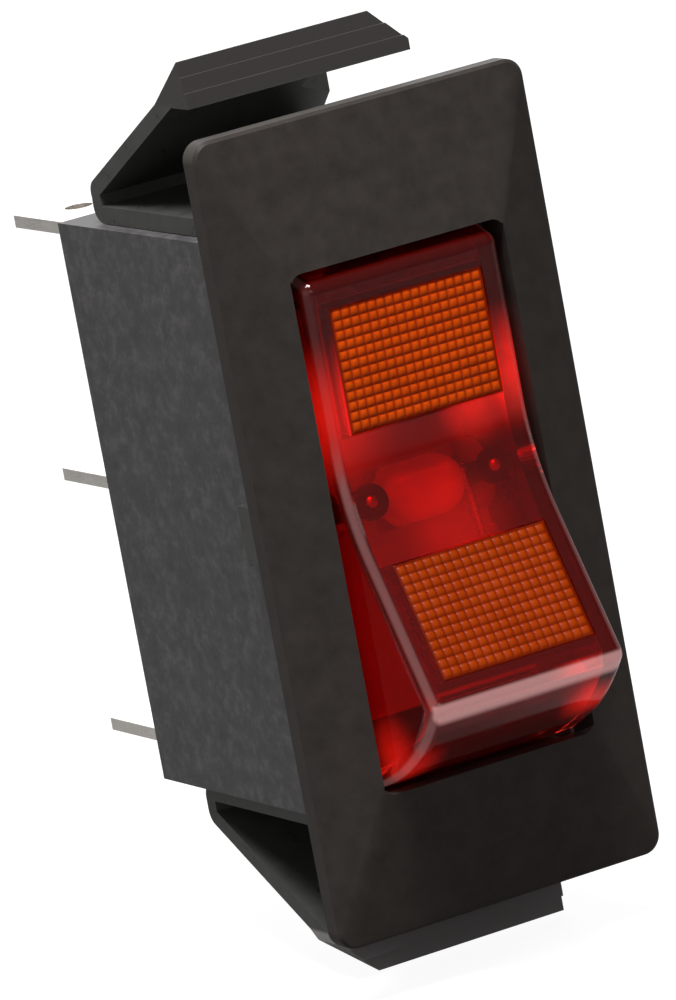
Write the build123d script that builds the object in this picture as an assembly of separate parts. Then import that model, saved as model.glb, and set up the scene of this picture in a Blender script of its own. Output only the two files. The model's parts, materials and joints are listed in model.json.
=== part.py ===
from build123d import *
from math import atan2, cos, degrees, hypot, radians, sin, tan
import os

# Lighted rocker switch that snaps into a panel. Sizes are in millimetres and degrees.
# +X points to the right, +Z along the switch, and the front faces -Y. The origin is the
# centre of the bezel's back face, where the panel seats. Depths are counted along +Y.

# Rocker, measured about its pivot before it is tilted
pivot_depth = 3.3
tilt = 14.5
rocker_half_length = 13.2
rocker_edge_height = 10.05
rocker_width = 13.8
rocker_wall = 1.2
rocker_edge_radius = 0.9
valley_radius = 14.0
skirt_below_pivot = 0.9

# Bezel with its opening for the rocker
bezel_length = 50.0
bezel_width = 23.0
bezel_rim = 1.4
bezel_crown = 2.9
bezel_corner_radius = 1.2
bezel_edge_chamfer = 0.2
register_depth = 0.3
opening_length = 32.2
opening_corner_radius = 0.8
opening_side_gap = 0.55

# Switch body
body_depth = 24.0
side_wall = 1.5
end_wall = 1.0
back_wall = 2.0
body_edge_radius = 0.4
cavity_side_gap = 0.3
rocker_end_gap = 0.31

# Snap wings at both ends of the bezel
wing_width = 15.6
leg_thickness = 1.1
arm_thickness = 1.05
wing_back_depth = 20.2
ridge_reach = 28.8
hook_depth = 5.25
hook_height = 2.9
hook_steps = 3
hook_step_depth = 0.25
kink_depth = 9.5
kink_reach = 26.0
bend_height = 2.4
hook_thickness = 2.7
hook_corner_cut = 2.2
arm_narrowing = 2.4
notch_depth_in_arm = 5.4
notch_slant = 2.0
neck_depth = 11.9
leg_gap = 0.05
bend_radius = 1.0
window_width = 5.0
window_length = 2.6
window_depth = 9.0
lug_height = 0.7
lug_gap = 0.15

# Side keepers of the bezel, which close the pivot slots of the body
keeper_length = 3.7
keeper_depth = 5.0
keeper_thickness = 0.9
keeper_gap = 0.05

# Lens pads in the rocker's two faces
pad_width = 10.6
pad_length = 7.7
pad_edge_distance = 1.75
pad_gap = 0.05
pad_lip = 0.3
pad_lip_thickness = 0.5

# Carrier inside the rocker
carrier_gap = 0.05
carrier_half_length = 12.5
carrier_top = 0.2
carrier_thickness = 1.4
cheek_thickness = 1.2
cheek_radius = 2.3
hub_radius = 3.0
hub_depth = 4.7

# Pivot pins, pressed into the carrier and running in the body's slots
pin_radius = 1.5
pin_running_gap = 0.05
pin_inner_end = 3.6
pin_end_gap = 0.4

# Spring plunger
plunger_radius = 1.8
plunger_length = 3.3
plunger_tip_depth = 6.5
plunger_running_gap = 0.05
plunger_nose = 1.0
bore_top = 0.3
spring_wire = 0.35
spring_turns = 3
spring_end_gap = 0.05

# Neon lamp and its resistor
lamp_radius = 1.95
lamp_half_length = 2.9
lamp_height = 3.1
glass_wall = 0.35
glass_end = 0.8
lead_radius = 0.25
lead_spacing = 1.2
electrode_overlap = 1.0
lead_gap = 0.05
lead_clearance = 0.02
lead_run_offset = 0.37
cradle_thickness = 0.8
cradle_offset = 1.5
resistor_radius = 1.1
resistor_length = 6.0
resistor_offset = 4.05
resistor_start = 3.4
resistor_lead = 1.0
eyelet_offset = 4.35
eyelet_radius = 0.65
eyelet_bore = 0.35
eyelet_flange_radius = 1.15
eyelet_flange = 0.3
eyelet_height = 5.2
eyelet_notch = 0.7

# Contact blade, which rocks on the common terminal
blade_width = 6.0
blade_thickness = 0.8
blade_half_length = 12.4
blade_tilt = 4.0
blade_clearance = 0.05
notch_depth = 0.65
notch_length = 1.4
contact_radius = 1.6
contact_height = 0.9
contact_reach = 10.0
shank_radius = 0.8

# Terminals: blades of a standard quick-connect width, bevelled at the tip
tab_width = 6.35
tab_thickness = 0.8
tab_length = 12.6
tab_offset = -2.7
tab_bevel = 1.2
tab_hole_radius = 0.9
tab_hole_distance = 4.1
terminal_inner_width = 6.4
ear_width = 0.6
ear_height = 1.4
slot_gap = 0.05
shelf_reach = 9.0
lamp_terminal_margin = 0.7

# Brass strips that carry the lamp's current from the pivot pins to the end terminals
strip_thickness = 0.4
strip_gap = 0.05
strip_width = 2.6
strip_eye_radius = 2.4
strip_tab_inset = 2.0

# Ribs moulded in the body
rib_thickness = 1.2
rib_clearance = 3.4
stop_width = 4.0
stop_thickness = 1.6
support_width = 5.0
support_thickness = 2.0
collar_height = 0.6
collar_margin = 0.9

# Sizes that follow from the ones above
rocker_radius = hypot(rocker_half_length, rocker_edge_height)
corner_angle = degrees(atan2(rocker_edge_height, rocker_half_length))
valley_height = rocker_edge_height - rocker_half_length * tan(radians(tilt))
rocker_half_width = rocker_width / 2
cavity_half_width = rocker_half_width + cavity_side_gap
body_half_width = cavity_half_width + side_wall
cavity_half_length = rocker_radius + rocker_end_gap
body_half_length = cavity_half_length + end_wall
opening_width = rocker_width + 2 * opening_side_gap
cap_inner_half_width = rocker_half_width - rocker_wall
carrier_half_width = cap_inner_half_width - carrier_gap
carrier_bottom = carrier_thickness - carrier_top
pin_outer_end = body_half_width - pin_end_gap
blade_pivot_depth = pivot_depth + plunger_tip_depth + blade_clearance + blade_thickness
back_wall_depth = body_depth - back_wall
end_terminal_face = cavity_half_length - tab_thickness
contact_sweep = (contact_reach + contact_radius) * sin(radians(blade_tilt))
fixed_contact_face = blade_pivot_depth + contact_height + contact_sweep + blade_clearance
shelf_depth = fixed_contact_face + contact_height
rib_depth = blade_pivot_depth + rib_clearance
strip_run_depth = shelf_depth + tab_thickness + 2 * strip_gap + strip_width / 2
leg_inner = body_half_length + leg_gap
leg_outer = leg_inner + leg_thickness


def prism_x(face, x0, x1):
    """A solid of constant section between two X positions; the face is drawn as (Y, Z)."""
    return extrude(Plane.YZ.offset(x0) * face, amount=x1 - x0)


def prism_y(face, y0, y1):
    """A solid of constant section between two depths; the face is drawn as (X, Z)."""
    return extrude(Plane.XZ.offset(-y0) * face, amount=y0 - y1)


def prism_z(face, z0, z1):
    """A solid of constant section between two heights; the face is drawn as (X, Y)."""
    return extrude(Plane.XY.offset(z0) * face, amount=z1 - z0)


def block(x0, x1, y0, y1, z0, z1):
    """A rectangular block between two corners."""
    size = Box(x1 - x0, y1 - y0, z1 - z0)
    return Pos((x0 + x1) / 2, (y0 + y1) / 2, (z0 + z1) / 2) * size


def disc(radius, y, z):
    """A round face at a (Y, Z) place."""
    return Pos(y, z) * Circle(radius)


def polygon(points):
    """A closed face through points."""
    return make_face(Polyline(*points, close=True))


def round_corner(face, corner, radius):
    """The face with the corner nearest to a point rounded."""
    nearest = face.vertices().sort_by_distance((corner[0], corner[1], 0))[0]
    return fillet(nearest, radius)


def turned(solid):
    """The solid turned half a turn about the depth axis, for the other end of the switch."""
    return Rot(0, 180, 0) * solid


def rocker_place(solid):
    """Moves a piece of the rocker from its own pivot axes to its place, with the top pressed in."""
    return Pos(0, pivot_depth, 0) * Rot(-tilt, 0, 0) * solid


def blade_place(solid):
    """Moves a piece of the contact blade from its own pivot axes to its place at rest."""
    return Pos(0, blade_pivot_depth, 0) * Rot(blade_tilt, 0, 0) * solid


def wing_profile():
    """The U-shaped section of one snap wing: leg, bend, arm and stepped hook, as (Y, Z)."""
    back_reach = leg_inner + bend_height
    slope = (kink_reach - back_reach) / (wing_back_depth - kink_depth)
    inner_kink_reach = kink_reach - arm_thickness * hypot(1, slope)
    hook_low = ridge_reach - hook_height
    underside_end = kink_depth + (inner_kink_reach - hook_low) / slope
    bend_front = wing_back_depth - leg_thickness
    bend_reach = inner_kink_reach - (bend_front - kink_depth) * slope
    step_height = hook_height / hook_steps
    steps = []
    for step in range(hook_steps):
        depth = hook_depth + step * hook_step_depth
        steps.append((depth, hook_low + step * step_height))
        steps.append((depth, hook_low + (step + 1) * step_height))
    points = [(-bezel_rim / 2, leg_inner), (wing_back_depth, leg_inner), (wing_back_depth, back_reach)]
    points += [(kink_depth, kink_reach)] + steps[::-1] + [(underside_end, hook_low)]
    points += [(bend_front, bend_reach), (bend_front, leg_outer), (-bezel_rim / 2, leg_outer)]
    face = round_corner(polygon(points), (wing_back_depth, leg_inner), bend_radius)
    return round_corner(face, (wing_back_depth, back_reach), bend_radius)


def wing(cut_side):
    """The upper snap wing. Its arm tapers on the right to a notch, and one hook corner is cut."""
    half = wing_width / 2
    body = prism_x(wing_profile(), -half, half)
    reach = ridge_reach + 1
    hook_back = hook_depth + hook_thickness
    notch_end = half - notch_depth_in_arm
    taper = [(half + 1, hook_back), (notch_end, hook_back), (notch_end, neck_depth - notch_slant),
             (half - arm_narrowing, neck_depth), (half, wing_back_depth), (half + 1, wing_back_depth)]
    body -= prism_z(polygon(taper), leg_outer + 0.1, reach)
    cut = polygon([(cut_side * (half - hook_corner_cut), ridge_reach), (cut_side * half, ridge_reach),
                   (cut_side * half, ridge_reach - hook_corner_cut)])
    body -= prism_y(cut, 0, kink_depth)
    window_end = window_depth + window_length
    body -= block(-window_width / 2, window_width / 2, window_depth, window_end, leg_inner - 1, leg_outer)
    return body


def bezel_bracket():
    """Bezel frame, two keepers and two snap wings in one moulding."""
    outline = RectangleRounded(bezel_width, bezel_length, bezel_corner_radius)
    opening = RectangleRounded(opening_width, opening_length, opening_corner_radius)
    inset = RectangleRounded(bezel_width - 2 * bezel_edge_chamfer, bezel_length - 2 * bezel_edge_chamfer,
                             bezel_corner_radius - bezel_edge_chamfer)
    side = bezel_rim - bezel_edge_chamfer
    body = prism_y(outline, -side, 0)
    body += loft([Plane.XZ.offset(side) * outline, Plane.XZ.offset(bezel_rim) * inset])
    body += loft([Plane.XZ.offset(bezel_rim) * inset, Plane.XZ.offset(bezel_crown) * opening])
    body -= prism_y(opening, -bezel_crown - 1, 1)
    body -= block(-body_half_width - keeper_gap, body_half_width + keeper_gap, -register_depth, 1,
                  -leg_inner, leg_inner)
    relief = disc(cavity_half_length, pivot_depth, 0)
    body -= prism_x(relief, -opening_width / 2, opening_width / 2)
    keeper_inner = body_half_width + keeper_gap
    slot_filler_end = pivot_depth - pin_radius - pin_running_gap
    for side in (-1, 1):
        edges = sorted((side * keeper_inner, side * (keeper_inner + keeper_thickness)))
        body += block(edges[0], edges[1], -bezel_rim / 2, keeper_depth, -keeper_length / 2, keeper_length / 2)
        edges = sorted((side * (cavity_half_width + strip_thickness + 2 * strip_gap),
                        side * (keeper_inner + keeper_thickness / 2)))
        body += block(edges[0], edges[1], -bezel_rim / 2, slot_filler_end,
                      -pin_radius + pin_running_gap, pin_radius - pin_running_gap)
    return body + wing(1) + mirror(wing(-1), about=Plane.XY)


def terminal_slot(z0, z1):
    """The slot in the body's back wall for one terminal."""
    x0 = tab_offset - tab_width / 2 - slot_gap
    x1 = tab_offset + tab_width / 2 + slot_gap
    return block(x0, x1, back_wall_depth - 1, body_depth + collar_height + 1, z0 - slot_gap, z1 + slot_gap)


def terminal_collar(z0, z1):
    """The low collar around one terminal on the body's back."""
    x0 = tab_offset - tab_width / 2 - collar_margin
    x1 = tab_offset + tab_width / 2 + collar_margin
    z0 = max(z0 - collar_margin, -body_half_length + body_edge_radius)
    z1 = min(z1 + collar_margin, body_half_length - body_edge_radius)
    return block(x0, x1, body_depth - 1, body_depth + collar_height, z0, z1)


def strip_profile(margin):
    """The flat outline of a lamp strip, grown by a margin for the groove that it lies in, as (Y, Z)."""
    eye = disc(strip_eye_radius + margin, pivot_depth, 0)
    half = strip_width / 2 + margin
    run_end = end_terminal_face + margin
    stem = Pos((pivot_depth + strip_run_depth) / 2, 0) * Rectangle(
        strip_run_depth - pivot_depth + strip_width + 2 * margin, 2 * half, align=(Align.CENTER, Align.CENTER))
    run = Pos(strip_run_depth, run_end / 2) * Rectangle(2 * half, run_end)
    return eye + stem + run


def switch_body():
    """The moulded housing: open at the front, with ribs, slots and grooves for what it holds."""
    body = block(-body_half_width, body_half_width, -register_depth, body_depth,
                 -body_half_length, body_half_length)
    body = fillet(body.faces().sort_by(Axis.Y)[-1].edges(), body_edge_radius)
    places = [(-tab_thickness / 2, tab_thickness / 2),
              (end_terminal_face, cavity_half_length),
              (-cavity_half_length, -end_terminal_face)]
    for z0, z1 in places:
        body += terminal_collar(z0, z1)
    body -= block(-cavity_half_width, cavity_half_width, -1, back_wall_depth,
                  -cavity_half_length, cavity_half_length)
    rib_half = terminal_inner_width / 2
    for side in (-1, 1):
        edges = sorted((side * (tab_thickness / 2 + slot_gap),
                        side * (tab_thickness / 2 + slot_gap + rib_thickness)))
        body += block(-rib_half, rib_half, rib_depth, back_wall_depth + 0.5, *edges)
    stop_drop = (contact_reach + stop_thickness / 2) * tan(radians(blade_tilt))
    body += block(-stop_width / 2, stop_width / 2, blade_pivot_depth + stop_drop + blade_clearance,
                  back_wall_depth + 0.5, -contact_reach - stop_thickness / 2, -contact_reach + stop_thickness / 2)
    shelf_back = shelf_depth + tab_thickness
    body += block(-support_width / 2, support_width / 2, shelf_back + blade_clearance, back_wall_depth + 0.5,
                  contact_reach - support_thickness / 2, contact_reach + support_thickness / 2)
    for z0, z1 in places:
        body -= terminal_slot(z0, z1)
    slot_radius = pin_radius + pin_running_gap
    slot = disc(slot_radius, pivot_depth, 0) + Pos(pivot_depth / 2 - 0.5, 0) * Rectangle(
        pivot_depth + 1, 2 * slot_radius)
    body -= prism_x(slot, -body_half_width - 1, body_half_width + 1)
    groove_depth = strip_thickness + strip_gap
    groove = prism_x(strip_profile(strip_gap), cavity_half_width - 0.5, cavity_half_width + groove_depth)
    body -= groove + turned(groove)
    lug_half = window_width / 2 - lug_gap
    lug_start = window_depth + lug_gap
    lug_end = window_depth + window_length - lug_gap
    lug = polygon([(lug_start, body_half_length - 0.3), (lug_end, body_half_length - 0.3),
                   (lug_end, body_half_length + lug_height), (lug_start, body_half_length)])
    for end in (prism_x(lug, -lug_half, lug_half), turned(prism_x(lug, -lug_half, lug_half))):
        body += end
    return body


def cap_face():
    """The rocker's side outline about its pivot: two faces in a shallow V, round ends, as (Y, Z)."""
    skirt = degrees(atan2(skirt_below_pivot, rocker_radius))
    top = (-rocker_edge_height, rocker_half_length)
    low = (-rocker_edge_height, -rocker_half_length)
    skirt_reach = rocker_radius * cos(radians(skirt))
    skirt_depth = rocker_radius * sin(radians(skirt))
    middle = (180 - (90 - corner_angle) + 90 - skirt) / 2
    bulge = (rocker_radius * cos(radians(middle)), rocker_radius * sin(radians(middle)))
    lines = [Line(top, (-valley_height, 0)), Line((-valley_height, 0), low),
             ThreePointArc(low, (bulge[0], -bulge[1]), (skirt_depth, -skirt_reach)),
             Line((skirt_depth, -skirt_reach), (skirt_depth, skirt_reach)),
             ThreePointArc((skirt_depth, skirt_reach), bulge, top)]
    return round_corner(make_face(lines), (-valley_height, 0), valley_radius)


def pad_plane(side):
    """The plane of a lens pad's outer face: side is 1 for the upper pad and -1 for the lower one."""
    slope = radians(tilt)
    reach = rocker_half_length - (pad_edge_distance + pad_length / 2) * cos(slope)
    depth = -valley_height - reach * tan(slope)
    return Plane(origin=(0, depth, side * reach), x_dir=(1, 0, 0),
                 z_dir=(0, -cos(slope), -side * sin(slope)))


def pad_block(side, width, length, top, bottom):
    """A block that is square to a lens pad, between two heights over the pad's outer face."""
    return pad_plane(side) * Pos(0, 0, (top + bottom) / 2) * Box(width, length, top - bottom)


def rocker_cap():
    """The clear shell of the rocker, open at the bottom, with windows for the two lens pads."""
    outline = cap_face()
    body = prism_x(outline, -rocker_half_width, rocker_half_width)
    front = body.edges().filter_by_position(Axis.Y, -rocker_radius, -skirt_below_pivot)
    body = fillet(front, rocker_edge_radius)
    inside = offset(outline, amount=-rocker_wall, kind=Kind.INTERSECTION)
    body -= prism_x(inside, -cap_inner_half_width, cap_inner_half_width)
    body -= block(-cap_inner_half_width, cap_inner_half_width, -rocker_wall, skirt_below_pivot + 1,
                  -rocker_radius + 2 * rocker_wall, rocker_radius - 2 * rocker_wall)
    slot_radius = pin_radius + pin_running_gap
    slot = disc(slot_radius, 0, 0) + Pos(slot_radius, 0) * Rectangle(2 * slot_radius, 2 * slot_radius)
    body -= prism_x(slot, -rocker_half_width - 1, rocker_half_width + 1)
    for side in (-1, 1):
        body -= pad_block(side, pad_width + 2 * pad_gap, pad_length + 2 * pad_gap, 1, -rocker_wall - 0.5)
    return body


def lens_pad(side):
    """One amber lens pad: it fills its window and has a lip under the shell."""
    body = pad_block(side, pad_width, pad_length, 0, -rocker_wall - pad_lip_thickness)
    lip_width = pad_width + 2 * pad_lip
    lip_length = pad_length + 2 * pad_lip
    return body + pad_block(side, lip_width, lip_length, -rocker_wall, -rocker_wall - pad_lip_thickness)


def rocker_carrier():
    """The white carrier in the rocker: plate, cheeks for the pins, lamp cradles and plunger hub."""
    body = block(-carrier_half_width, carrier_half_width, -carrier_top, carrier_bottom,
                 -carrier_half_length, carrier_half_length)
    for side in (-1, 1):
        edges = sorted((side * (carrier_half_width - cheek_thickness), side * carrier_half_width))
        body += prism_x(disc(cheek_radius, 0, 0), *edges)
        edges = sorted((side * (cradle_offset - cradle_thickness / 2),
                        side * (cradle_offset + cradle_thickness / 2)))
        body += block(edges[0], edges[1], -lamp_height, 0, -lamp_radius, lamp_radius)
    body += Pos(0, hub_depth / 2, 0) * Rot(90, 0, 0) * Cylinder(hub_radius, hub_depth)
    body -= prism_x(disc(lamp_radius + lead_clearance, -lamp_height, 0), -lamp_half_length, lamp_half_length)
    body -= prism_x(disc(pin_radius, 0, 0), pin_inner_end, rocker_half_width)
    body -= prism_x(disc(pin_radius, 0, 0), -rocker_half_width, -pin_inner_end)
    notch = Box(2 * eyelet_notch, 2 * eyelet_height, 2 * eyelet_notch)
    for side in (-1, 1):
        body -= Pos(side * eyelet_offset, -pin_radius / 2 - eyelet_height, 0) * notch
    bore_length = hub_depth - bore_top
    bore = Cylinder(plunger_radius + plunger_running_gap, bore_length + 1)
    return body - Pos(0, bore_top + (bore_length + 1) / 2, 0) * Rot(90, 0, 0) * bore


def pivot_pin(side):
    """One stub pin of the rocker's pivot."""
    edges = sorted((side * pin_inner_end, side * pin_outer_end))
    return prism_x(disc(pin_radius, 0, 0), *edges)


def plunger():
    """The spring plunger: a round pin with a tapered tip."""
    middle = plunger_tip_depth - plunger_length / 2
    body = Pos(0, middle, 0) * Rot(90, 0, 0) * Cylinder(plunger_radius, plunger_length)
    return chamfer(body.edges().sort_by(Axis.Y)[-1], plunger_nose)


def plunger_spring():
    """The coil spring between the hub's bore and the plunger."""
    radius = plunger_radius - spring_wire
    start = bore_top + spring_wire / 2 + spring_end_gap
    end = plunger_tip_depth - plunger_length - spring_wire / 2 - spring_end_gap
    path = Helix(pitch=(end - start) / spring_turns, height=end - start, radius=radius,
                 center=(0, start, 0), direction=(0, 1, 0))
    section = Plane(origin=path @ 0, z_dir=path % 0) * Rectangle(spring_wire, spring_wire)
    return sweep(section, path=path, is_frenet=True)


def lamp_glass():
    """The hollow glass of the neon lamp, with thick ends and a hole for each lead."""
    straight = lamp_half_length - glass_end
    body = prism_x(disc(lamp_radius, -lamp_height, 0), -lamp_half_length, lamp_half_length)
    body -= prism_x(disc(lamp_radius - glass_wall, -lamp_height, 0), -straight, straight)
    for side in (-1, 1):
        hole = disc(lead_radius, -lamp_height, side * lead_spacing / 2)
        edges = sorted((side * (straight - glass_wall), side * (lamp_half_length + 1)))
        body -= prism_x(hole, *edges)
    return body


def wire(points):
    """A round wire along straight runs, bent sharply at each corner."""
    path = Polyline(*points)
    section = Plane(origin=path @ 0, z_dir=path % 0) * Circle(lead_radius)
    return sweep(section, path=path, transition=Transition.RIGHT)


def lamp_eyelet(side):
    """A brass eyelet that stands on a pivot pin and takes one side of the lamp's circuit."""
    profile = [(eyelet_bore, pin_radius), (eyelet_radius, pin_radius),
               (eyelet_radius, eyelet_height - eyelet_flange),
               (eyelet_flange_radius, eyelet_height - eyelet_flange),
               (eyelet_flange_radius, eyelet_height), (eyelet_bore, eyelet_height)]
    body = revolve(Plane.XZ * polygon(profile), axis=Axis.Z)
    return Pos(side * eyelet_offset, 0, 0) * Rot(90, 0, 0) * body


def lamp_lead_left():
    """The left electrode and its lead, which runs straight to the left eyelet."""
    z = -lead_spacing / 2
    start = -eyelet_offset + eyelet_radius + lead_gap
    face = disc(lead_radius, -lamp_height, z)
    return prism_x(face, start, electrode_overlap)


def lamp_lead_right():
    """The right electrode and its lead, which runs back to the resistor's far end."""
    z = lead_spacing / 2
    run = lamp_half_length + lead_run_offset
    y = resistor_axis()
    far = -resistor_start - resistor_length - resistor_lead - lead_radius
    return wire([(-electrode_overlap, -lamp_height, z), (run, -lamp_height, z),
                 (run, -lamp_height, far), (resistor_offset, y, far)])


def resistor_axis():
    """The height of the resistor's axis over the carrier, as a depth."""
    return -carrier_top - resistor_radius - lead_clearance


def dropping_resistor():
    """The lamp's series resistor, with a lead at each end."""
    x, y = resistor_offset, resistor_axis()
    start = -resistor_start
    end = start - resistor_length
    body = Pos(x, y, 0) * prism_z(Circle(resistor_radius), end, start)
    near = -pin_radius / 2 - lead_clearance - lead_radius
    return body + Pos(x, y, 0) * prism_z(Circle(lead_radius), end - resistor_lead + lead_clearance, near)


def contact_blade():
    """The seesaw blade about its pivot, with a notch at each side and a hole for its contact."""
    half = blade_width / 2
    body = block(-half, half, -blade_thickness, 0, -blade_half_length, blade_half_length)
    for side in (-1, 1):
        edges = sorted((side * (half - notch_depth), side * (half + 1)))
        body -= block(edges[0], edges[1], -blade_thickness - 1, 1, -notch_length / 2, notch_length / 2)
    body = fillet(body.edges().filter_by(Axis.Y).group_by(Axis.Z)[0], blade_thickness)
    body = fillet(body.edges().filter_by(Axis.Y).group_by(Axis.Z)[-1], blade_thickness)
    hole = Pos(0, contact_reach) * Circle(shank_radius)
    return body - prism_y(hole, -blade_thickness - 1, 1)


def contact_button(plate_thickness):
    """A contact button with its shank, pressed in a plate that its face stands on."""
    face = Pos(0, contact_reach) * Circle(contact_radius)
    body = prism_y(face, 0, contact_height)
    shank = Pos(0, contact_reach) * Circle(shank_radius)
    return body + prism_y(shank, -plate_thickness, 0)


def tab_outline(inner_start):
    """The flat outline of a terminal: a wide inner part and the bevelled tab, as (X, Y)."""
    inner = terminal_inner_width / 2
    left = tab_offset - tab_width / 2
    right = tab_offset + tab_width / 2
    tip = body_depth + tab_length
    outline = polygon([(left, back_wall_depth - 0.5), (right, back_wall_depth - 0.5), (right, tip - tab_bevel),
                       (right - tab_bevel, tip), (left + tab_bevel, tip), (left, tip - tab_bevel)])
    outline -= Pos(tab_offset, tip - tab_hole_distance) * Circle(tab_hole_radius)
    return outline + polygon([(-inner, inner_start), (inner, inner_start),
                              (inner, back_wall_depth), (min(-inner, left), back_wall_depth),
                              (min(-inner, left), back_wall_depth - 1.5), (-inner, back_wall_depth - 1.5)])


def terminal_common():
    """The middle terminal: its inner end is the saddle that the blade rocks on."""
    saddle = blade_pivot_depth + blade_clearance
    outline = tab_outline(saddle)
    inner = terminal_inner_width / 2
    for side in (-1, 1):
        centre = side * (inner - ear_width / 2)
        ear = Pos(centre, saddle - ear_height / 2 + 0.5) * Rectangle(ear_width, ear_height + 1)
        outline += ear
    return prism_z(outline, -tab_thickness / 2, tab_thickness / 2)


def terminal_load():
    """The upper terminal: its inner end is bent over as the shelf for the fixed contact."""
    body = prism_z(tab_outline(shelf_depth), end_terminal_face, cavity_half_length)
    inner = terminal_inner_width / 2
    shelf_start = end_terminal_face - shelf_reach
    body += block(-inner, inner, shelf_depth, shelf_depth + tab_thickness, shelf_start, cavity_half_length)
    bend = body.edges().filter_by(Axis.X).filter_by_position(Axis.Y, shelf_depth - 0.01, shelf_depth + 0.01)
    body = fillet(bend.sort_by(Axis.Z)[-1], tab_thickness)
    hole = Pos(0, contact_reach) * Circle(shank_radius)
    return body - prism_y(hole, shelf_depth - 1, shelf_depth + tab_thickness + 1)


def terminal_lamp():
    """The lower terminal, which feeds only the lamp."""
    start = strip_run_depth - strip_width / 2 - lamp_terminal_margin
    return prism_z(tab_outline(start), -cavity_half_length, -end_terminal_face)


def lamp_strip():
    """The brass strip from the right pivot pin to the upper terminal, folded at the body's corner."""
    face = strip_profile(0) - disc(pin_radius + pin_running_gap, pivot_depth, 0)
    outer = cavity_half_width + strip_thickness
    body = prism_x(face, cavity_half_width, outer)
    return body + block(strip_tab_inset, outer, strip_run_depth - strip_width / 2,
                        strip_run_depth + strip_width / 2, end_terminal_face - strip_thickness,
                        end_terminal_face)


nodes = {
    "bezel_bracket": bezel_bracket(),
    "switch_body": switch_body(),
    "rocker_cap": rocker_place(rocker_cap()),
    "upper_lens_pad": rocker_place(lens_pad(1)),
    "lower_lens_pad": rocker_place(lens_pad(-1)),
    "rocker_carrier": rocker_place(rocker_carrier()),
    "pivot_pin_left": rocker_place(pivot_pin(-1)),
    "pivot_pin_right": rocker_place(pivot_pin(1)),
    "lamp_eyelet_left": rocker_place(lamp_eyelet(-1)),
    "lamp_eyelet_right": rocker_place(lamp_eyelet(1)),
    "lamp_glass": rocker_place(lamp_glass()),
    "lamp_lead_left": rocker_place(lamp_lead_left()),
    "lamp_lead_right": rocker_place(lamp_lead_right()),
    "dropping_resistor": rocker_place(dropping_resistor()),
    "plunger": rocker_place(plunger()),
    "plunger_spring": rocker_place(plunger_spring()),
    "contact_blade": blade_place(contact_blade()),
    "moving_contact": blade_place(contact_button(blade_thickness)),
    "fixed_contact": Pos(0, shelf_depth, 0) * mirror(contact_button(tab_thickness), about=Plane.XZ),
    "terminal_common": terminal_common(),
    "terminal_load": terminal_load(),
    "terminal_lamp": terminal_lamp(),
    "lamp_strip_right": lamp_strip(),
    "lamp_strip_left": turned(lamp_strip()),
}

os.makedirs("parts", exist_ok=True)
for name, solid in nodes.items():
    export_step(solid, f"parts/{name}.step")
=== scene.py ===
import json
import math

import bpy
import numpy as np
from mathutils import Matrix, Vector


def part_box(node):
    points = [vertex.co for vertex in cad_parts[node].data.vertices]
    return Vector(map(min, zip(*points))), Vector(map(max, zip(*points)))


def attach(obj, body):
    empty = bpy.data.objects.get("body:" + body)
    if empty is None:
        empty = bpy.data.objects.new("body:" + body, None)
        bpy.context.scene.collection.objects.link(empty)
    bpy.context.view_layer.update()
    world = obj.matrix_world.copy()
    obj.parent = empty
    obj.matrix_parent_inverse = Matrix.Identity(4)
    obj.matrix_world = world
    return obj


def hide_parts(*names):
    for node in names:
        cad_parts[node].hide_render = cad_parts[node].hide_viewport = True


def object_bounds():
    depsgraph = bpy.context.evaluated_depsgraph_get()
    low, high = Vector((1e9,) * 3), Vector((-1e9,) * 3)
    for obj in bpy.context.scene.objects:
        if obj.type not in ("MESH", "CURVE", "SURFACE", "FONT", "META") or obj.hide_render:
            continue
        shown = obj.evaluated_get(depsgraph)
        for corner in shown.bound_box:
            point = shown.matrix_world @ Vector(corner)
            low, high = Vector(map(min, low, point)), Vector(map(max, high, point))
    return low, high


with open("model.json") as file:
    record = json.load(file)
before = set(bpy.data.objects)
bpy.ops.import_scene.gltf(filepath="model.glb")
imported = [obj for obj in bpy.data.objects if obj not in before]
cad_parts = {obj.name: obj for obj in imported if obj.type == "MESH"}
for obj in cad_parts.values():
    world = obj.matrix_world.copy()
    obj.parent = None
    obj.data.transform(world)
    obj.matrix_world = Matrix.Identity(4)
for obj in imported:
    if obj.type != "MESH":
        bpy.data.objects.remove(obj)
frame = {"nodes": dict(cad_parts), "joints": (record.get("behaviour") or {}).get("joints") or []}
cad_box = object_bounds()
nodes = frame["nodes"]

# Bezel frame with its snap wings
# One moulding of black heat-resistant nylon. The show face has a fine spark-eroded grain,
# while the wings behind the panel come off polished steel and are a little glossier.
mm = 0.001


def new_group(name, inputs, outputs):
    """An empty shader node group with named float inputs (and their defaults) and outputs."""
    group = bpy.data.node_groups.new(name, "ShaderNodeTree")
    for title, value in inputs.items():
        socket = group.interface.new_socket(title, in_out="INPUT", socket_type="NodeSocketFloat")
        socket.default_value = value
    for title, kind in outputs.items():
        group.interface.new_socket(title, in_out="OUTPUT", socket_type=kind)
    return group, group.nodes.new("NodeGroupInput"), group.nodes.new("NodeGroupOutput")


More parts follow.
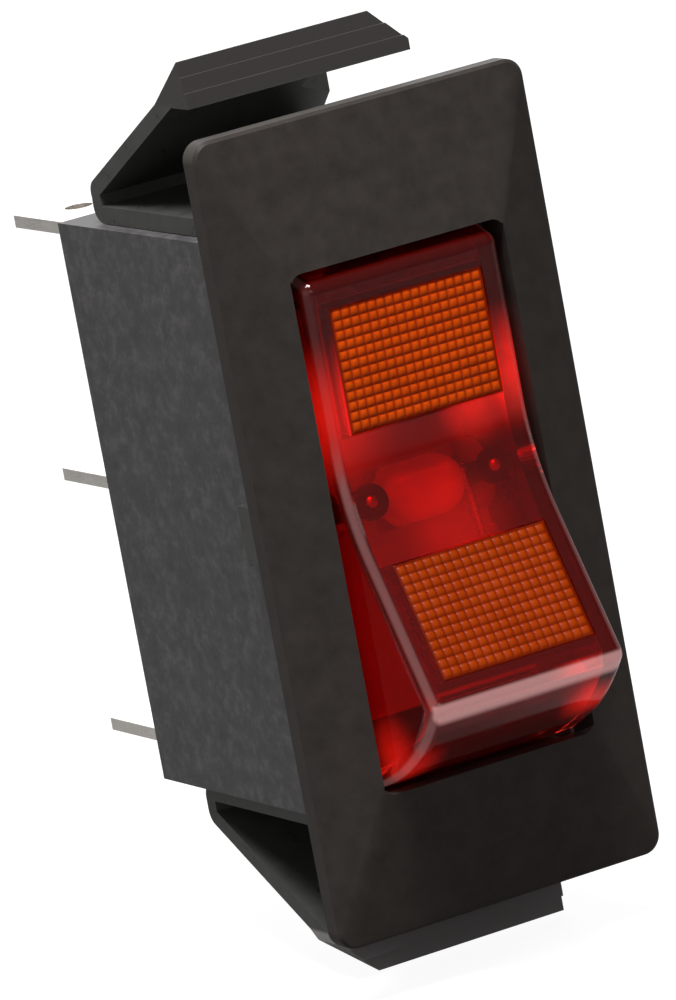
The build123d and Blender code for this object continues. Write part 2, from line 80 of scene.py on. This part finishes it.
def moulded_grain():
    """Grain of a moulded plastic surface: a fine noise for relief and a coarse one for mottling."""
    group, source, sink = new_group(
        "moulded_grain",
        {"Grain per metre": 6000.0, "Mottle per metre": 500.0},
        {"Height": "NodeSocketFloat", "Mottle": "NodeSocketFloat"})
    place = group.nodes.new("ShaderNodeTexCoord")
    for title, detail, rough in (("Height", 3.0, 0.6), ("Mottle", 5.0, 0.65)):
        noise = group.nodes.new("ShaderNodeTexNoise")
        noise.inputs["Detail"].default_value = detail
        noise.inputs["Roughness"].default_value = rough
        scale = "Grain per metre" if title == "Height" else "Mottle per metre"
        group.links.new(place.outputs["Object"], noise.inputs["Vector"])
        group.links.new(source.outputs[scale], noise.inputs["Scale"])
        group.links.new(noise.outputs["Fac"], sink.inputs[title])
    return group


grain = moulded_grain()


def new_material(name, **values):
    """A material with one Principled shader, whose plain values are set on its own sockets."""
    material = bpy.data.materials.new(name)
    material.use_nodes = True
    shader = material.node_tree.nodes["Principled BSDF"]
    for title, value in values.items():
        socket = shader.inputs[title.replace("_", " ")]
        socket.default_value = (*value, 1.0) if isinstance(value, tuple) else value
    return material, material.node_tree, shader


def ramp(tree, source, stops):
    """A colour ramp on a value: stops are (position, colour) pairs."""
    node = tree.nodes.new("ShaderNodeValToRGB")
    elements = node.color_ramp.elements
    for index, (position, colour) in enumerate(stops):
        element = elements[index] if index < 2 else elements.new(position)
        element.position = position
        element.color = (*colour, 1.0)
    tree.links.new(source, node.inputs["Fac"])
    return node.outputs["Color"]


def levels(tree, source, low, high, new_low, new_high, smooth=False):
    """A value carried from one range to another and held at its ends."""
    node = tree.nodes.new("ShaderNodeMapRange")
    node.interpolation_type = "SMOOTHSTEP" if smooth else "LINEAR"
    tree.links.new(source, node.inputs["Value"])
    for title, value in (("From Min", low), ("From Max", high), ("To Min", new_low), ("To Max", new_high)):
        node.inputs[title].default_value = value
    return node.outputs["Result"]


def blend(tree, factor, first, second, kind="MIX"):
    """One colour laid over another. Each input is a socket or a plain value."""
    node = tree.nodes.new("ShaderNodeMix")
    node.data_type, node.blend_type = "RGBA", kind
    for title, value in (("Factor", factor), ("A", first), ("B", second)):
        if isinstance(value, tuple):
            node.inputs[title].default_value = (*value, 1.0)
        elif isinstance(value, float):
            node.inputs[title].default_value = value
        else:
            tree.links.new(value, node.inputs[title])
    return node.outputs["Result"]


def bump(tree, shader, height, strength, distance):
    """Relief on a shader from a height."""
    node = tree.nodes.new("ShaderNodeBump")
    node.inputs["Strength"].default_value = strength
    node.inputs["Distance"].default_value = distance
    tree.links.new(height, node.inputs["Height"])
    tree.links.new(node.outputs["Normal"], shader.inputs["Normal"])


def place_grain(tree, per_metre, mottle_per_metre):
    """The moulded grain in a material."""
    node = tree.nodes.new("ShaderNodeGroup")
    node.node_tree = grain
    node.inputs["Grain per metre"].default_value = per_metre
    node.inputs["Mottle per metre"].default_value = mottle_per_metre
    return node.outputs["Height"], node.outputs["Mottle"]


def axis_value(tree, axis):
    """One coordinate of the surface in the object's own frame, in metres."""
    place = tree.nodes.new("ShaderNodeTexCoord")
    split = tree.nodes.new("ShaderNodeSeparateXYZ")
    tree.links.new(place.outputs["Object"], split.inputs["Vector"])
    return split.outputs[axis]


def paint(material, *names):
    """Gives CAD nodes one material."""
    for name in names:
        mesh = nodes[name].data
        mesh.materials.clear()
        mesh.materials.append(material)


def black_nylon():
    """Warm black on the show face, neutral and glossier behind it, a plain grey on the upper hook, and a
    painted highlight of pale grey on the lower hook.
    """
    material, tree, shader = new_material("black_nylon", Roughness=0.45, Specular_IOR_Level=0.14)
    height, mottle = place_grain(tree, 9000.0, 700.0)
    front = ramp(tree, mottle, [(0.3, (0.026, 0.0215, 0.0188)), (0.7, (0.038, 0.0318, 0.028))])
    rear = ramp(tree, mottle, [(0.3, (0.05, 0.05, 0.047)), (0.7, (0.066, 0.066, 0.062))])
    behind = levels(tree, axis_value(tree, "Y"), 0.0, 0.4 * mm, 0.0, 1.0)
    hook_start, hook_end = 25.9 * mm, 26.1 * mm
    upper = levels(tree, axis_value(tree, "Z"), hook_start, hook_end, 0.0, 1.0)
    lower = levels(tree, axis_value(tree, "Z"), -hook_start, -hook_end, 0.0, 1.0)
    rear = blend(tree, upper, rear, (0.054, 0.05, 0.048))
    # Painted highlight: the lower hook is given a pale grey that stands in for the light it catches.
    rear = blend(tree, lower, rear, (0.24, 0.225, 0.222))
    tree.links.new(blend(tree, behind, front, rear), shader.inputs["Base Color"])
    gloss = tree.nodes.new("ShaderNodeMix")
    tree.links.new(behind, gloss.inputs["Factor"])
    tree.links.new(levels(tree, mottle, 0.3, 0.7, 0.46, 0.56), gloss.inputs["A"])
    tree.links.new(levels(tree, mottle, 0.3, 0.7, 0.26, 0.36), gloss.inputs["B"])
    tree.links.new(gloss.outputs["Result"], shader.inputs["Roughness"])
    bump(tree, shader, height, 0.35, 0.02 * mm)
    return material


paint(black_nylon(), "bezel_bracket")

# Switch body
# A thermoset housing, dull dark grey with the pale mottling of its mineral filler.


def filled_thermoset():
    """Neutral dark grey with a coarse mottle and a fine grain."""
    material, tree, shader = new_material("filled_thermoset", Roughness=0.6, Specular_IOR_Level=0.45)
    height, mottle = place_grain(tree, 4200.0, 1100.0)
    colour = ramp(tree, mottle, [(0.32, (0.031, 0.029, 0.03)), (0.5, (0.051, 0.048, 0.05)),
                                 (0.68, (0.088, 0.083, 0.086))])
    tree.links.new(colour, shader.inputs["Base Color"])
    tree.links.new(levels(tree, mottle, 0.3, 0.7, 0.52, 0.7), shader.inputs["Roughness"])
    bump(tree, shader, height, 0.5, 0.03 * mm)
    return material


paint(filled_thermoset(), "switch_body")

# Rocker shell
# Clear red polycarbonate, polished, open below. Its wall shows what it covers.


def join(tree, operation, first, second):
    """Two values joined by an operation of the Math node."""
    node = tree.nodes.new("ShaderNodeMath")
    node.operation = operation
    tree.links.new(first, node.inputs[0])
    tree.links.new(second, node.inputs[1])
    return node.outputs["Value"]


def band(tree, source, rise, fall, strength):
    """A value that climbs to a strength over one stretch of a source and drops over another."""
    return join(tree, "MULTIPLY", levels(tree, source, *rise, 0.0, strength, smooth=True),
                levels(tree, source, *fall, 1.0, 0.0, smooth=True))


def soft_patch(tree, centre_mm, radius_mm, strength):
    """A round patch that fades from a strength at its centre to nothing at its radius."""
    place = tree.nodes.new("ShaderNodeTexCoord")
    apart = tree.nodes.new("ShaderNodeVectorMath")
    apart.operation = "DISTANCE"
    apart.inputs[1].default_value = [value * mm for value in centre_mm]
    tree.links.new(place.outputs["Object"], apart.inputs[0])
    return levels(tree, apart.outputs["Value"], 0.0, radius_mm * mm, strength, 0.0, smooth=True)


def painted_edge_highlight(tree):
    """Painted highlight on the shell's edges: a little along its long edges, most of all at the raised end.
    """
    place = tree.nodes.new("ShaderNodeTexCoord")
    facing = tree.nodes.new("ShaderNodeSeparateXYZ")
    tree.links.new(place.outputs["Normal"], facing.inputs["Vector"])
    across = tree.nodes.new("ShaderNodeMath")
    across.operation = "ABSOLUTE"
    tree.links.new(facing.outputs["X"], across.inputs[0])
    sideways, upward = across.outputs["Value"], facing.outputs["Z"]
    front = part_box("rocker_cap")[0][1]
    depth, along = axis_value(tree, "Y"), axis_value(tree, "Z")
    long_edge = join(tree, "MULTIPLY", band(tree, sideways, (0.25, 0.5), (0.75, 0.92), 0.24),
                     levels(tree, along, 2.5 * mm, 6.5 * mm, 1.0, 0.15, smooth=True))
    raised_edge = levels(tree, upward, 0.1, 0.4, 1.0, 0.0, smooth=True)
    for limit in (levels(tree, sideways, 0.6, 0.9, 1.0, 0.0, smooth=True),
                  levels(tree, depth, front + 0.35 * mm, front + 0.85 * mm, 1.0, 0.0, smooth=True),
                  levels(tree, along, -9.6 * mm, -9.2 * mm, 1.0, 0.0)):
        raised_edge = join(tree, "MULTIPLY", raised_edge, limit)
    return join(tree, "MAXIMUM", long_edge, raised_edge)


def painted_glow_patches(tree, mottle):
    """Painted glow in the plastic: soft patches of light, given by centre, radius and strength in mm."""
    patches = (((6.3, -3.0, 7.2), 4.5, 1.0), ((3.2, -3.0, 5.6), 3.0, 0.8), ((-7.0, -3.9, -13.8), 3.6, 0.55),
               ((5.3, -7.0, -13.1), 2.6, 0.7), ((-6.6, -3.0, 7.0), 5.5, 0.5), ((0.0, -4.0, -1.5), 4.5, 0.3))
    glow_sum = soft_patch(tree, *patches[0])
    for patch in patches[1:]:
        glow_sum = join(tree, "MAXIMUM", glow_sum, soft_patch(tree, *patch))
    return join(tree, "MULTIPLY", glow_sum, levels(tree, mottle, 0.35, 0.65, 0.7, 1.0, smooth=True))


def clear_red():
    """Red clear plastic with a painted red glow in places and painted pale highlights along its edges."""
    material, tree, shader = new_material("clear_red", Roughness=0.05, IOR=1.4, Coat_Roughness=0.35,
                                          Transmission_Weight=0.95, Emission_Strength=1.0)
    height, mottle = place_grain(tree, 900.0, 300.0)
    # Painted highlight: the edge mask gives the shell's edges a pale base colour, a coat and a pale
    # emission.
    edge_highlight_mask = painted_edge_highlight(tree)
    dark = (0.0, 0.0, 0.0)
    # Painted glow: red emission in soft patches, standing in for light inside the shell.
    glow = blend(tree, painted_glow_patches(tree, mottle), dark, (0.6, 0.012, 0.006))
    edge_glint = blend(tree, edge_highlight_mask, dark, (0.34, 0.17, 0.165))
    tree.links.new(blend(tree, 1.0, glow, edge_glint, "ADD"), shader.inputs["Emission Color"])
    tree.links.new(blend(tree, edge_highlight_mask, (0.8, 0.022, 0.014), (1.0, 0.6, 0.56)), shader.inputs["Base Color"])
    tree.links.new(edge_highlight_mask, shader.inputs["Coat Weight"])
    tree.links.new(levels(tree, mottle, 0.3, 0.7, 0.04, 0.11), shader.inputs["Roughness"])
    bump(tree, shader, height, 0.05, 0.02 * mm)
    return material


paint(clear_red(), "rocker_cap")

# Lens pads
# Two amber inserts in the rocker's faces. Their outer face is a waffle of small pillows that
# spreads the lamp's light. Each is held by a lip under the shell.
tilt_joint = next(joint for joint in frame["joints"] if joint["name"] == "rocker_tilt")
pivot = np.array(tilt_joint["pos_m"])
throw = math.radians(tilt_joint["range_deg"][1])


def turn_about_pivot(points, angle):
    """Points turned about the rocker's pivot axis, which lies along X."""
    c, s = math.cos(angle), math.sin(angle)
    turn = np.array([[1.0, 0.0, 0.0], [0.0, c, -s], [0.0, s, c]])
    return (points - pivot) @ turn.T + pivot


def node_points(name):
    """The corner points of a CAD node."""
    mesh = nodes[name].data
    points = np.empty(len(mesh.vertices) * 3)
    mesh.vertices.foreach_get("co", points)
    return points.reshape(-1, 3)


def mesh_piece(name, points, faces, material):
    """A new smooth-shaded mesh object from arrays of points and faces."""
    mesh = bpy.data.meshes.new(name)
    mesh.from_pydata(np.asarray(points).tolist(), [], [list(face) for face in faces])
    mesh.polygons.foreach_set("use_smooth", np.full(len(mesh.polygons), True))
    mesh.materials.append(material)
    mesh.update()
    piece = bpy.data.objects.new(name, mesh)
    bpy.context.scene.collection.objects.link(piece)
    return piece


def grid_faces(rows, columns):
    """The four-sided faces of a grid of points that is stored row by row."""
    index = np.arange(rows * columns).reshape(rows, columns)
    corners = (index[:-1, :-1], index[:-1, 1:], index[1:, 1:], index[1:, :-1])
    return np.stack([corner.ravel() for corner in corners], axis=1)


def rim_indices(rows, columns):
    """The indices round a grid's edge, in order."""
    index = np.arange(rows * columns).reshape(rows, columns)
    return np.concatenate([index[0, :-1], index[:-1, -1], index[-1, :0:-1], index[:0:-1, 0]])


def waffle_pad(name, node, angle, material):
    """A lens pad: a waffle face over a skirt, a lip and a flat back.

    The face is depth = d * (|sin(pi x / p)| * |sin(pi z / p)|) ** 0.5, pillows of pitch p and
    height d over the grooves between them, with a plain margin round the outside.
    """
    pitch, height, margin, samples = 0.6 * mm, 0.11 * mm, 0.12 * mm, 8
    lip, lip_thickness = 0.3 * mm, 0.5 * mm
    points = turn_about_pivot(node_points(node), angle)
    low, high = points.min(axis=0), points.max(axis=0)
    x0, x1 = low[0] + lip, high[0] - lip
    z0, z1 = low[2] + lip, high[2] - lip
    columns = int(round((x1 - x0 - 2 * margin) / pitch)) * samples + 3
    rows = int(round((z1 - z0 - 2 * margin) / pitch)) * samples + 3

    def spaced(start, end, count):
        inner = np.linspace(start + margin, end - margin, count - 2)
        wave = np.abs(np.sin(np.pi * np.arange(count - 2) / samples))
        return np.r_[start, inner, end], np.r_[0.0, wave, 0.0]

    xs, wave_x = spaced(x0, x1, columns)
    zs, wave_z = spaced(z0, z1, rows)
    relief = height * np.sqrt(np.outer(wave_z, wave_x))
    relief[[0, -1], :] = 0.5 * height
    relief[:, [0, -1]] = 0.5 * height
    grid_x, grid_z = np.meshgrid(xs, zs)
    face = np.stack([grid_x, low[1] + height - relief, grid_z], axis=-1).reshape(-1, 3)
    rim = rim_indices(rows, columns)
    edge = face[rim]
    half_size = np.array([(x1 - x0) / 2, 1.0, (z1 - z0) / 2])
    from_middle = np.round((edge - (low + high) / 2) / half_size, 6)
    outward = np.sign(from_middle) * (np.abs(from_middle) >= 1.0)
    outward[:, 1] = 0.0
    rings = []
    for depth, spread in ((high[1] - lip_thickness, 0.0), (high[1] - lip_thickness, lip), (high[1], lip)):
        ring = edge + outward * spread
        ring[:, 1] = depth
        rings.append(ring)
    count = len(rim)
    total = [face] + rings
    faces = [tuple(quad) for quad in grid_faces(rows, columns)]
    starts = [rim] + [np.arange(count) + len(face) + i * count for i in range(3)]
    for upper, lower in zip(starts[:-1], starts[1:]):
        quads = np.stack([np.roll(upper, -1), upper, lower, np.roll(lower, -1)], axis=1)
        faces += [tuple(quad) for quad in quads]
    faces.append(tuple(starts[-1][::-1]))
    piece = mesh_piece(name, turn_about_pivot(np.concatenate(total), -angle), faces, material)
    crest = np.zeros(len(piece.data.vertices))
    crest[:len(face)] = np.outer(wave_z, wave_x).ravel()
    piece.data.attributes.new("crest", "FLOAT", "POINT").data.foreach_set("value", crest)
    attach(piece, "rocker")
    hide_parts(node)
    return piece


def amber_lens(name, depth):
    """Amber plastic, with painted shade darkening the grooves of the waffle and lighter crests.

    The depth scales the colour and is painted shade: the raised pad faces the light, so it is given the
    darker amber to look as deep as the other.
    """
    material, tree, shader = new_material(name, Roughness=0.3, Specular_IOR_Level=0.08)
    height, mottle = place_grain(tree, 2500.0, 350.0)
    crest = tree.nodes.new("ShaderNodeAttribute")
    crest.attribute_name = "crest"
    # Painted shade: the crest attribute darkens the colour in the grooves between the pillows.
    groove_shade_ramp = ramp(tree, crest.outputs["Fac"], [(0.0, (0.28, 0.018, 0.0006)), (0.12, (0.45, 0.038, 0.001)),
                                               (0.6, (0.6, 0.066, 0.0012))])
    # The depth scales this colour; below one it is painted shade.
    shade = ramp(tree, mottle, [(0.3, (0.8 * depth, 0.75 * depth, 0.7 * depth)),
                                (0.7, (depth, depth, depth))])
    tree.links.new(blend(tree, 1.0, groove_shade_ramp, shade, "MULTIPLY"), shader.inputs["Base Color"])
    tree.links.new(levels(tree, mottle, 0.3, 0.7, 0.26, 0.4), shader.inputs["Roughness"])
    bump(tree, shader, height, 0.1, 0.02 * mm)
    return material


waffle_pad("upper_waffle_pad", "upper_lens_pad", 0.0, amber_lens("amber_lens", 0.93))
# Painted shade: the lower pad's amber is darkened to about half because it faces the light.
waffle_pad("lower_waffle_pad", "lower_lens_pad", throw, amber_lens("shaded_amber_lens", 0.46))

# Rocker carrier
# A white moulding pressed into the shell. It shows through the clear red as a pale ground.


def natural_white():
    """White plastic with a faint warm unevenness."""
    material, tree, shader = new_material("natural_white", Roughness=0.4)
    height, mottle = place_grain(tree, 3000.0, 400.0)
    colour = ramp(tree, mottle, [(0.3, (0.72, 0.66, 0.58)), (0.7, (0.84, 0.8, 0.74))])
    tree.links.new(colour, shader.inputs["Base Color"])
    tree.links.new(levels(tree, mottle, 0.3, 0.7, 0.35, 0.5), shader.inputs["Roughness"])
    bump(tree, shader, height, 0.15, 0.02 * mm)
    return material


paint(natural_white(), "rocker_carrier", "plunger")

# Lamp and resistor
# A small neon lamp across the rocker, under the valley between the pads.


def thin_glass():
    """Lamp glass with the pale orange bloom of its getter and electrodes, and a trace of glow."""
    material, tree, shader = new_material(
        "thin_glass", Base_Color=(0.95, 0.62, 0.4), Roughness=0.15, IOR=1.5, Transmission_Weight=0.35,
        Emission_Color=(1.0, 0.3, 0.12), Emission_Strength=0.12)
    height, mottle = place_grain(tree, 800.0, 300.0)
    colour = ramp(tree, mottle, [(0.3, (0.8, 0.42, 0.24)), (0.7, (1.0, 0.75, 0.55))])
    tree.links.new(colour, shader.inputs["Base Color"])
    bump(tree, shader, height, 0.05, 0.02 * mm)
    return material


def tan_lacquer():
    """The resistor's tan lacquer, plain, with a faint mottle."""
    material, tree, shader = new_material("tan_lacquer", Roughness=0.3)
    height, mottle = place_grain(tree, 3000.0, 900.0)
    colour = ramp(tree, mottle, [(0.3, (0.42, 0.27, 0.13)), (0.7, (0.56, 0.38, 0.2))])
    tree.links.new(colour, shader.inputs["Base Color"])
    tree.links.new(levels(tree, mottle, 0.3, 0.7, 0.25, 0.4), shader.inputs["Roughness"])
    bump(tree, shader, height, 0.1, 0.02 * mm)
    return material


def turned_piece(name, x, radius, centre, material, count=40):
    """A closed surface of revolution about an X axis: y = r(x) cos t, z = r(x) sin t."""
    angle = np.arange(count) * 2.0 * np.pi / count
    ring = np.stack([np.zeros(count), np.cos(angle), np.sin(angle)], axis=-1)
    points = radius[:, None, None] * ring + np.stack([x, 0 * x, 0 * x], axis=-1)[:, None, :]
    index = np.arange(len(x) * count).reshape(len(x), count)
    after = np.roll(index, -1, axis=1)
    faces = np.stack([index[:-1], index[1:], after[1:], after[:-1]], axis=-1).reshape(-1, 4)
    ends = [tuple(index[0]), tuple(index[-1][::-1])]
    return mesh_piece(name, points.reshape(-1, 3) + centre, [tuple(face) for face in faces] + ends, material)


lamp_low, lamp_high = (np.array(corner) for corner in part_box("lamp_glass"))
half = (lamp_high - lamp_low) / 2
run = np.sin(np.linspace(-0.5, 0.5, 33) * np.pi)
bulb = turned_piece("neon_lamp", run * half[0], half[1] * (1.0 - run ** 4 * 0.995) ** 0.5,
                    (lamp_low + lamp_high) / 2, thin_glass())
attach(bulb, "rocker")
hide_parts("lamp_glass")
paint(tan_lacquer(), "dropping_resistor")

# Metal parts
# Drawn brass for pins and strips, a copper alloy for the blade, tinned brass for the terminals,
# fine silver for the contacts, plain wire for spring and leads, dark brass for the eyelets.


def drawn_metal(name, dark, light, low, high, stretch):
    """Metal with fine drawing lines along one direction and a soft tarnish."""
    material, tree, shader = new_material(name, Metallic=1.0)
    place = tree.nodes.new("ShaderNodeTexCoord")
    turn = tree.nodes.new("ShaderNodeMapping")
    turn.inputs["Scale"].default_value = stretch
    lines = tree.nodes.new("ShaderNodeTexNoise")
    lines.inputs["Scale"].default_value = 5000.0
    lines.inputs["Detail"].default_value = 4.0
    tree.links.new(place.outputs["Object"], turn.inputs["Vector"])
    tree.links.new(turn.outputs["Vector"], lines.inputs["Vector"])
    mottle = place_grain(tree, 3000.0, 350.0)[1]
    tree.links.new(ramp(tree, mottle, [(0.3, dark), (0.7, light)]), shader.inputs["Base Color"])
    tree.links.new(levels(tree, lines.outputs["Fac"], 0.3, 0.7, low, high), shader.inputs["Roughness"])
    bump(tree, shader, lines.outputs["Fac"], 0.06, 0.01 * mm)
    return material


tinned = drawn_metal("tinned_brass", (0.84, 0.79, 0.72), (0.95, 0.92, 0.87), 0.26, 0.34, (1.0, 0.08, 1.0))
brass = drawn_metal("drawn_brass", (0.6, 0.42, 0.18), (0.78, 0.58, 0.3), 0.2, 0.35, (0.1, 1.0, 1.0))
copper = drawn_metal("copper_alloy", (0.62, 0.33, 0.18), (0.78, 0.47, 0.3), 0.2, 0.35, (1.0, 1.0, 0.1))
silver = drawn_metal("fine_silver", (0.7, 0.69, 0.66), (0.85, 0.84, 0.82), 0.2, 0.4, (1.0, 1.0, 1.0))
steel = drawn_metal("spring_wire", (0.4, 0.4, 0.41), (0.58, 0.58, 0.58), 0.2, 0.35, (1.0, 0.1, 1.0))
dark_brass = drawn_metal("blackened_brass", (0.02, 0.014, 0.012), (0.06, 0.04, 0.034), 0.3, 0.5,
                         (1.0, 1.0, 1.0))
paint(tinned, "terminal_common", "terminal_load", "terminal_lamp")
paint(brass, "pivot_pin_left", "pivot_pin_right", "lamp_strip_left", "lamp_strip_right")
paint(dark_brass, "lamp_eyelet_left", "lamp_eyelet_right")
paint(copper, "contact_blade")
paint(silver, "moving_contact", "fixed_contact")
paint(steel, "plunger_spring", "lamp_lead_left", "lamp_lead_right")

# Solder in the eyelets
# A small bright bead of solder closes each eyelet of the lamp's circuit.
# Its form is half an ellipsoid: radius r cos a and height h sin a, with a from 0 to 90 degrees.
bead_radius, bead_height, eyelet_top = 0.42 * mm, 0.26 * mm, -5.2 * mm
bead_rings, bead_sides = 8, 24
for side, sign in (("left", -1), ("right", 1)):
    eyelet_low, eyelet_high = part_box(f"lamp_eyelet_{side}")
    middle = sign * (abs(eyelet_low[0]) + abs(eyelet_high[0])) / 2
    rise = np.linspace(0.0, 0.5 * np.pi, bead_rings + 1)[:-1]
    turn = np.arange(bead_sides) * 2.0 * np.pi / bead_sides
    dome = np.stack([np.outer(np.cos(rise), np.cos(turn)) * bead_radius + middle,
                     eyelet_top - np.outer(np.sin(rise), np.ones(bead_sides)) * bead_height,
                     np.outer(np.cos(rise), np.sin(turn)) * bead_radius], axis=-1).reshape(-1, 3)
    index = np.arange(bead_rings * bead_sides).reshape(bead_rings, bead_sides)
    after = np.roll(index, -1, axis=1)
    faces = np.stack([index[:-1], after[:-1], after[1:], index[1:]], axis=-1).reshape(-1, 4)
    faces = [tuple(face) for face in faces] + [tuple(index[0][::-1]), tuple(index[-1])]
    bead = mesh_piece(f"solder_bead_{side}", turn_about_pivot(dome + pivot, -throw / 2), faces, tinned)
    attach(bead, "rocker")

# Studio
# A pale floor under the switch, plain soft light and the camera of the photograph.


def pale_floor():
    """A pale floor, white to the camera and dim in reflections."""
    material, tree, shader = new_material(
        "pale_floor", Base_Color=(0.14, 0.14, 0.14), Roughness=0.9, Specular_IOR_Level=0.0)
    path = tree.nodes.new("ShaderNodeLightPath")
    total = None
    for title, glow in (("Is Camera Ray", 0.93), ("Is Transmission Ray", 0.1), ("Is Glossy Ray", 0.06)):
        share = tree.nodes.new("ShaderNodeMath")
        share.operation = "MULTIPLY_ADD"
        share.inputs[1].default_value, share.inputs[2].default_value = glow, 0.0
        tree.links.new(path.outputs[title], share.inputs[0])
        if total is not None:
            tree.links.new(total, share.inputs[2])
        total = share.outputs["Value"]
    shader.inputs["Emission Color"].default_value = (1.0, 1.0, 1.0, 1.0)
    tree.links.new(total, shader.inputs["Emission Strength"])
    return material


floor_level = cad_box[0][2] - 0.2 * mm
reach = 3.0
floor_points = np.array([[-reach, -reach, floor_level], [reach, -reach, floor_level],
                         [reach, reach, floor_level], [-reach, reach, floor_level]])
floor = mesh_piece("floor", floor_points, [(0, 1, 2, 3)], pale_floor())

world = bpy.data.worlds.new("studio")
world.use_nodes = True
bpy.context.scene.world = world
sky = world.node_tree
background = sky.nodes["Background"]
path = sky.nodes.new("ShaderNodeLightPath")
place = sky.nodes.new("ShaderNodeTexCoord")
split = sky.nodes.new("ShaderNodeSeparateXYZ")
sky.links.new(place.outputs["Generated"], split.inputs["Vector"])


def toward(direction):
    """How far a view direction of the sky points along another: the cosine between them."""
    dot = sky.nodes.new("ShaderNodeVectorMath")
    dot.operation = "DOT_PRODUCT"
    dot.inputs[1].default_value = direction
    sky.links.new(place.outputs["Generated"], dot.inputs[0])
    return dot.outputs["Value"]


parts = (levels(sky, toward((0.05, -0.85, 0.5)), 0.3, 1.0, 0.03, 0.22, smooth=True),
         levels(sky, toward((-0.85, -0.5, 0.1)), 0.75, 1.0, 0.0, 0.7, smooth=True),
         levels(sky, split.outputs["Y"], 0.3, 0.8, 0.0, 1.35, smooth=True))
total = parts[0]
for part in parts[1:]:
    total = join(sky, "ADD", total, part)
seen = sky.nodes.new("ShaderNodeMix")
sky.links.new(path.outputs["Is Camera Ray"], seen.inputs["Factor"])
sky.links.new(total, seen.inputs["A"])
seen.inputs["B"].default_value = 1.0
sky.links.new(seen.outputs["Result"], background.inputs["Strength"])
background.inputs["Color"].default_value = (1.0, 1.0, 1.0, 1.0)


def rows_to_matrix(right, up, back, position):
    """An object's matrix from three axes and a place."""
    columns = np.eye(4)
    columns[:3, 0], columns[:3, 1], columns[:3, 2], columns[:3, 3] = right, up, back, position
    return columns.tolist()


def softbox(name, azimuth, elevation, distance, size, power):
    """A square area lamp that faces the switch from a direction given in degrees."""
    lamp = bpy.data.lights.new(name, "AREA")
    lamp.shape = "RECTANGLE"
    lamp.size, lamp.size_y = size
    lamp.energy = power
    item = bpy.data.objects.new(name, lamp)
    bpy.context.scene.collection.objects.link(item)
    a, e = math.radians(azimuth), math.radians(elevation)
    back = np.array([math.sin(a) * math.cos(e), -math.cos(a) * math.cos(e), math.sin(e)])
    right = np.cross([0.0, 0.0, 1.0], back)
    right /= np.linalg.norm(right)
    item.matrix_world = Matrix(rows_to_matrix(right, np.cross(back, right), back, back * distance))


softbox("key_softbox", -33.0, 70.0, 0.6, (0.3, 0.2), 6.6)
softbox("front_softbox", -8.0, 22.0, 0.6, (0.22, 0.16), 0.2)
softbox("fill_softbox", 150.0, 42.0, 0.8, (0.5, 0.5), 1.6)

# The camera stands to the left of the switch and a little above it, and leans sideways, as in the
# photograph.
image_width, image_height = 676, 1000
azimuth, elevation, roll = (math.radians(value) for value in (-27.61, 11.78, -10.57))
focal_pixels = 9000.0
distance, aside, above = 541.58 * mm, -4.94 * mm, 0.14 * mm
back = np.array([math.sin(azimuth) * math.cos(elevation), -math.cos(azimuth) * math.cos(elevation),
                 math.sin(elevation)])
level = np.cross([0.0, 0.0, 1.0], back)
level /= np.linalg.norm(level)
plumb = np.cross(back, level)
right = math.cos(roll) * level + math.sin(roll) * plumb
up = -math.sin(roll) * level + math.cos(roll) * plumb
lens = bpy.data.cameras.new("camera")
lens.sensor_width = 36.0
lens.lens = lens.sensor_width * focal_pixels / max(image_width, image_height)
lens.clip_start = 0.01
camera = bpy.data.objects.new("camera", lens)
bpy.context.scene.collection.objects.link(camera)
camera.matrix_world = Matrix(rows_to_matrix(right, up, back, back * distance + right * aside + up * above))
bpy.context.scene.camera = camera
bpy.context.scene.view_settings.view_transform = "Standard"
